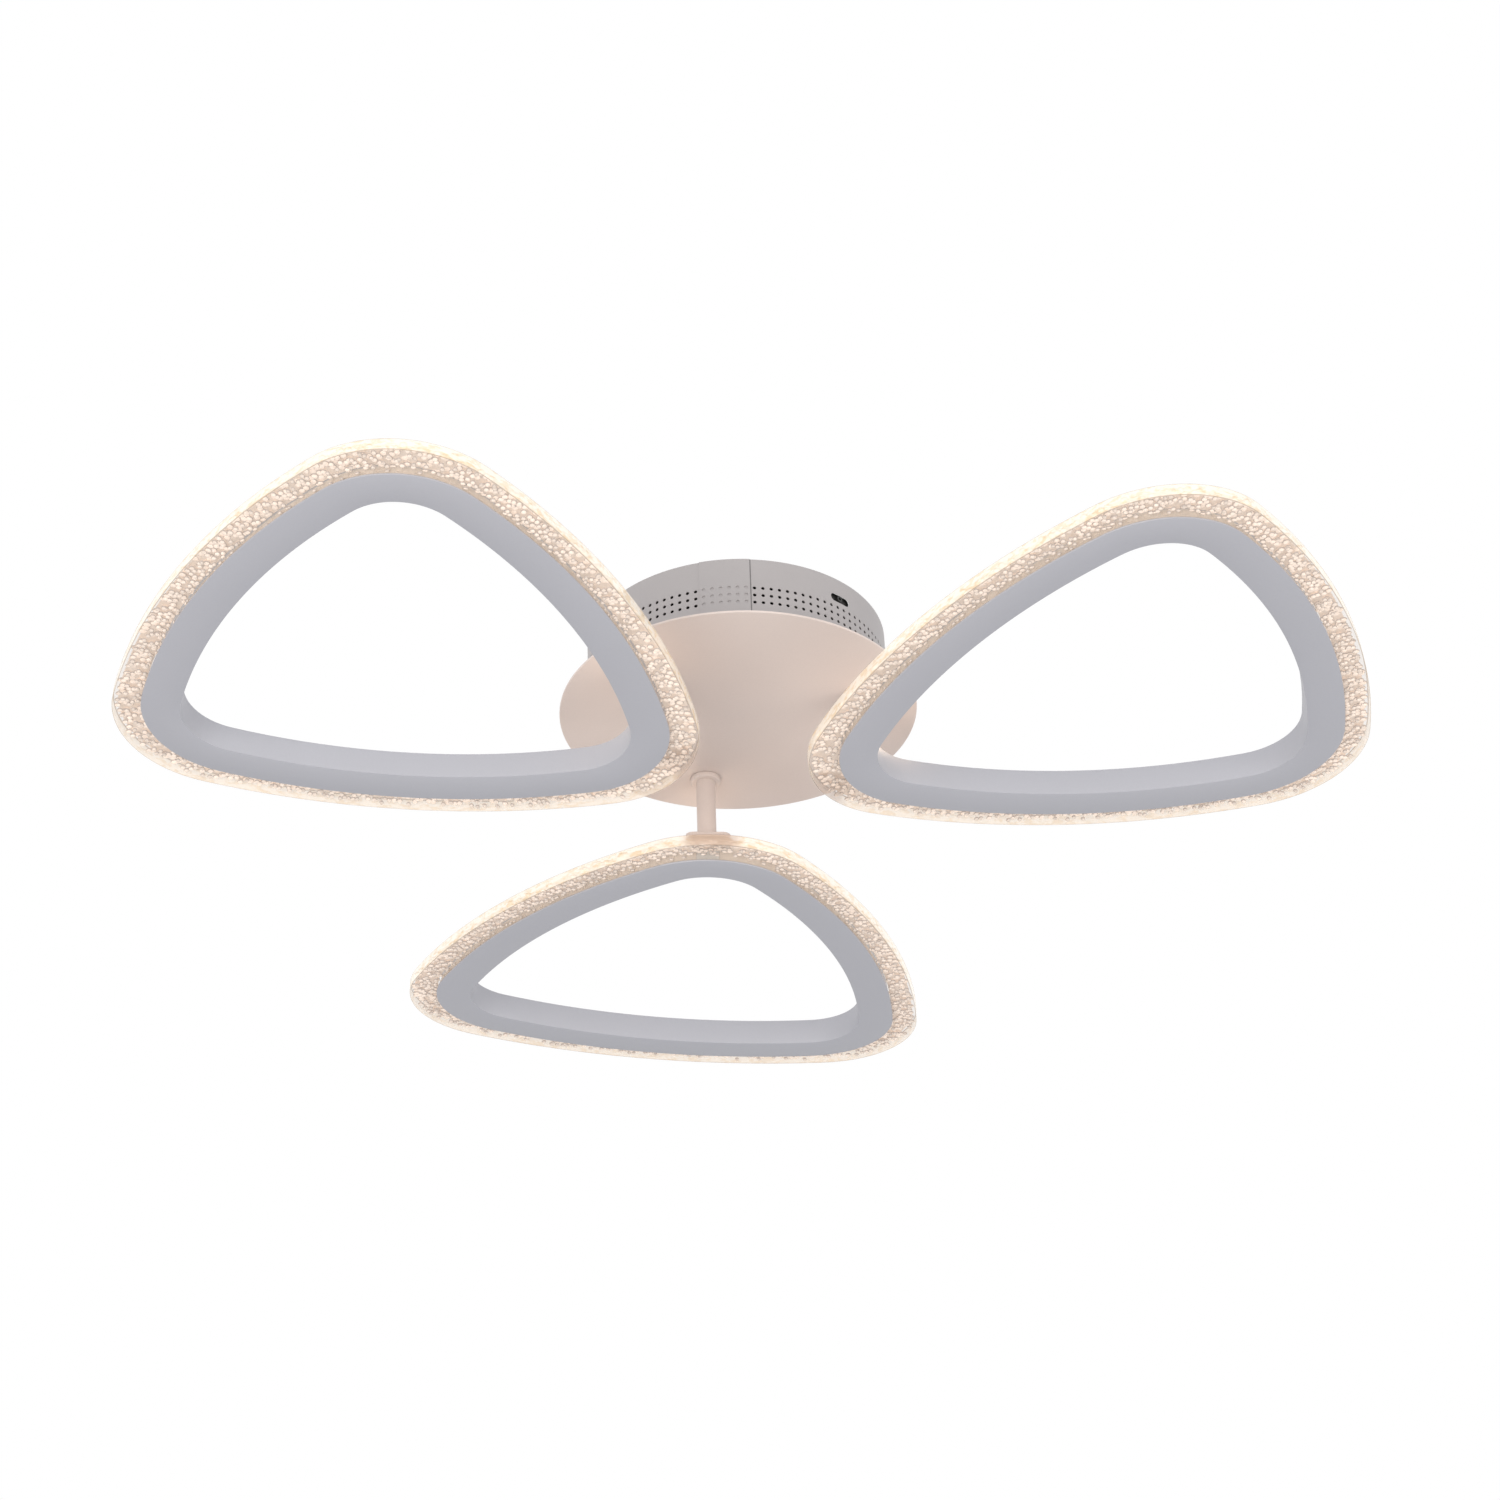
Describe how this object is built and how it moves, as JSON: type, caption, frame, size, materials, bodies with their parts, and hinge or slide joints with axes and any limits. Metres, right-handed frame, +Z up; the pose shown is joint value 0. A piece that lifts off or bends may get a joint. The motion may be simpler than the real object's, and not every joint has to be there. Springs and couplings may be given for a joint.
{
  "type": "led ceiling chandelier",
  "caption": "Ceiling light with lit rounded-triangle rings, each on a short swivelling arm below a round vented canopy.",
  "frame": {"origin": "on the ceiling plane, on the axis of the round canopy, midway between the two ceiling screws", "axes": "+Z up into the ceiling, X along the line of the ceiling screws, -Y towards the viewer of the picture"},
  "size_m": [0.7513, 0.7092, 0.116],
  "materials": {
    "canopy_paint": "matte warm white powder coat",
    "ring_paint": "satin white powder coat",
    "bubble_acrylic": "clear acrylic full of small bubbles, polished edge",
    "light_strip": "white flexible strip with warm light chips",
    "white_plastic": "moulded",
    "circuit_board": "green solder mask with parts",
    "lead_sheath": "soft white sheath and plug",
    "zinc_steel": "bright zinc plate",
    "black_steel": "black coat",
    "brass": "plain"
  },
  "bodies": {
    "canopy": {"ceiling_bracket": "black_steel", "canopy_wall": "canopy_paint", "canopy_base": "canopy_paint", "canopy_grub_screws": "black_steel", "earth_screw": "brass", "driver_case": "white_plastic", "driver_cover": "white_plastic", "driver_board": "circuit_board", "driver_screws": "zinc_steel", "terminal_block": "white_plastic", "terminal_screws": "brass"},
    "far_ring": {"far_arm_tube": "canopy_paint", "far_arm_collar": "canopy_paint", "far_arm_washer": "zinc_steel", "far_arm_lock_nut": "zinc_steel", "far_arm_foot": "canopy_paint", "far_arm_lead": "lead_sheath", "far_foot_block": "zinc_steel", "far_foot_screws": "zinc_steel", "far_ring_frame": "ring_paint", "far_ring_cover": "ring_paint", "far_cover_screws": "zinc_steel", "far_acrylic_ring": "bubble_acrylic", "far_led_strip": "light_strip", "far_strip_connector": "white_plastic"},
    "right_ring": {"right_arm_tube": "canopy_paint", "right_arm_collar": "canopy_paint", "right_arm_washer": "zinc_steel", "right_arm_lock_nut": "zinc_steel", "right_arm_foot": "canopy_paint", "right_arm_lead": "lead_sheath", "right_foot_block": "zinc_steel", "right_foot_screws": "zinc_steel", "right_ring_frame": "ring_paint", "right_ring_cover": "ring_paint", "right_cover_screws": "zinc_steel", "right_acrylic_ring": "bubble_acrylic", "right_led_strip": "light_strip", "right_strip_connector": "white_plastic"},
    "left_ring": {"left_arm_tube": "canopy_paint", "left_arm_collar": "canopy_paint", "left_arm_washer": "zinc_steel", "left_arm_lock_nut": "zinc_steel", "left_arm_foot": "canopy_paint", "left_arm_lead": "lead_sheath", "left_foot_block": "zinc_steel", "left_foot_screws": "zinc_steel", "left_ring_frame": "ring_paint", "left_ring_cover": "ring_paint", "left_cover_screws": "zinc_steel", "left_acrylic_ring": "bubble_acrylic", "left_led_strip": "light_strip", "left_strip_connector": "white_plastic"}
  },
  "joints": [
    {"name": "far_ring_swivel", "type": "hinge", "parent": "canopy", "child": "far_ring", "pos_m": [-0.02209, 0.07272, -0.051], "axis": [0, 0, 1], "range_deg": [-25, 25]},
    {"name": "right_ring_swivel", "type": "hinge", "parent": "canopy", "child": "right_ring", "pos_m": [0.07402, -0.01723, -0.051], "axis": [0, 0, 1], "range_deg": [-25, 25]},
    {"name": "left_ring_swivel", "type": "hinge", "parent": "canopy", "child": "left_ring", "pos_m": [-0.05193, -0.05549, -0.051], "axis": [0, 0, 1], "range_deg": [-25, 25]}
  ]
}
